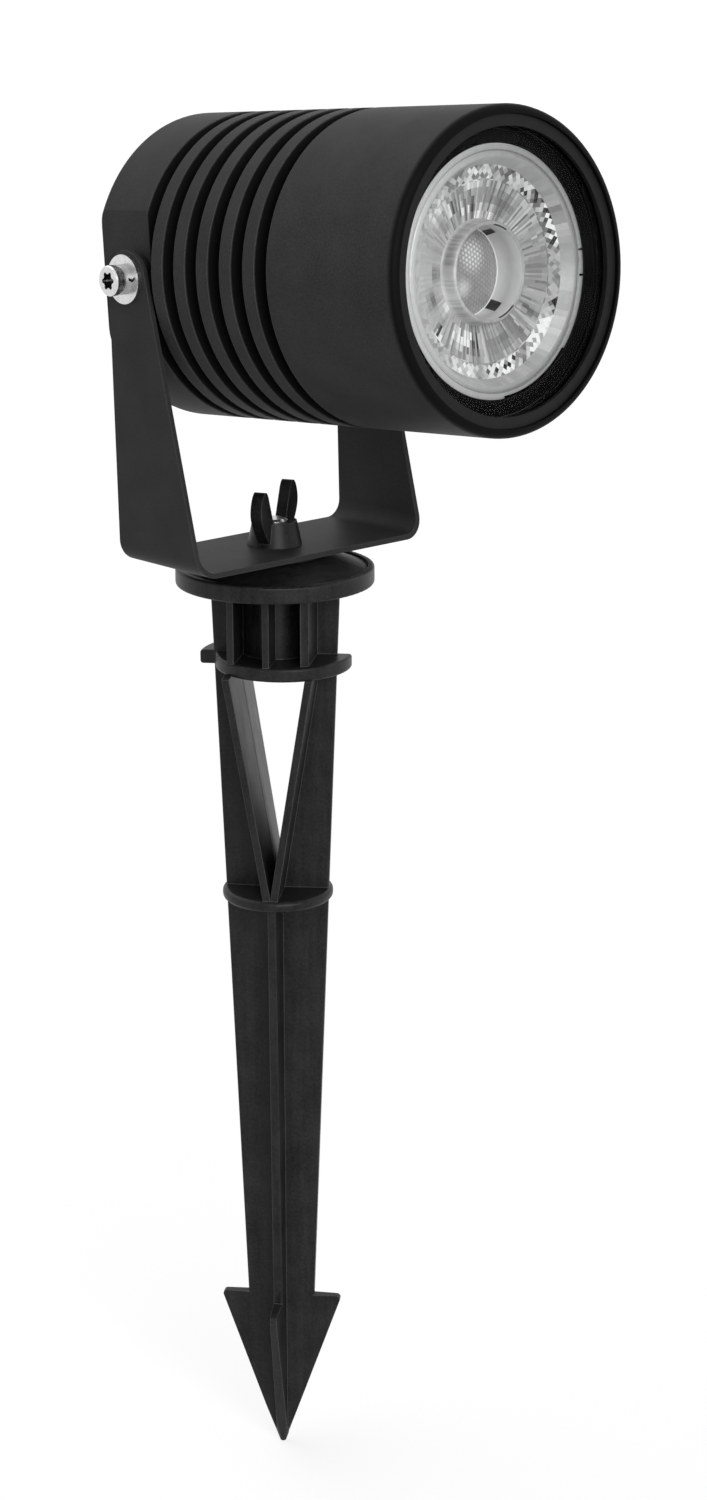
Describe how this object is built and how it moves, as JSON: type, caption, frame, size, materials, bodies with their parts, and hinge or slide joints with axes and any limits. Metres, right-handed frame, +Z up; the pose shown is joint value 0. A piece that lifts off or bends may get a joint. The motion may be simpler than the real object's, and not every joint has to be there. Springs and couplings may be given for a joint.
{
  "type": "garden spike spotlight",
  "caption": "Outdoor spotlight with a finned cylindrical head in a tilting U-bracket, clamped by a wing nut on a barbed ground spike.",
  "frame": {"origin": "on the spike's axis at ground level, at the underside of the collar that rests on the soil", "axes": "+Z up along the spike; the lamp shines towards -Y at rest, 4.1 degrees above level; the tilt axis is parallel to X"},
  "size_m": [0.0668, 0.0998, 0.2849],
  "materials": {
    "black_metal": "satin black powder coat on die-cast and turned aluminium",
    "bracket_metal": "fine matt black powder coat on 1 mm steel sheet",
    "stainless": "bright stainless steel",
    "spike_plastic": "moulded black nylon with a fine grain",
    "black_plastic": "moulded black plastic",
    "rubber": "black silicone rubber",
    "pad": "grey thermal pad",
    "glass": "clear toughened glass",
    "lens": "clear optical acrylic",
    "chip": "phosphor field on a white ceramic plate",
    "copper": "tinned copper leads"
  },
  "bodies": {
    "spike": {"ground_spike": "spike_plastic", "stud_bolt": "stainless", "swivel_pad": "rubber"},
    "bracket": {"u_bracket": "bracket_metal"},
    "head": {"rear_housing": "black_metal", "rear_cover": "black_metal", "cover_gasket": "rubber", "cover_screws": "stainless", "driver_module": "black_plastic", "chip_leads": "copper", "thermal_pad": "pad", "led_chip": "chip", "chip_screws": "stainless", "optic_lens": "lens", "lens_holder": "black_plastic", "front_hood": "black_metal", "hood_o_ring": "rubber", "glass_gasket": "rubber", "cover_glass": "glass", "retaining_ring": "black_metal", "gland_body": "black_plastic", "gland_washer": "rubber", "gland_nut": "black_plastic", "gland_seal": "rubber", "pivot_bushes": "black_plastic", "pivot_washers": "stainless", "spring_washers": "stainless", "collar_washers": "stainless", "pivot_screws": "stainless"},
    "wing_nut": {"wing_nut": "black_plastic"}
  },
  "joints": [
    {"name": "bracket_swivel", "type": "hinge", "parent": "spike", "child": "bracket", "pos_m": [0, 0, 0.072], "axis": [0, 0, 1], "continuous": true},
    {"name": "head_tilt", "type": "hinge", "parent": "bracket", "child": "head", "pos_m": [0, 0.008, 0.1265], "axis": [-1, 0, 0], "range_deg": [-4, 175]},
    {"name": "wing_nut_turn", "type": "hinge", "parent": "spike", "child": "wing_nut", "pos_m": [0, 0, 0.07305], "axis": [0, 0, 1], "continuous": true}
  ]
}
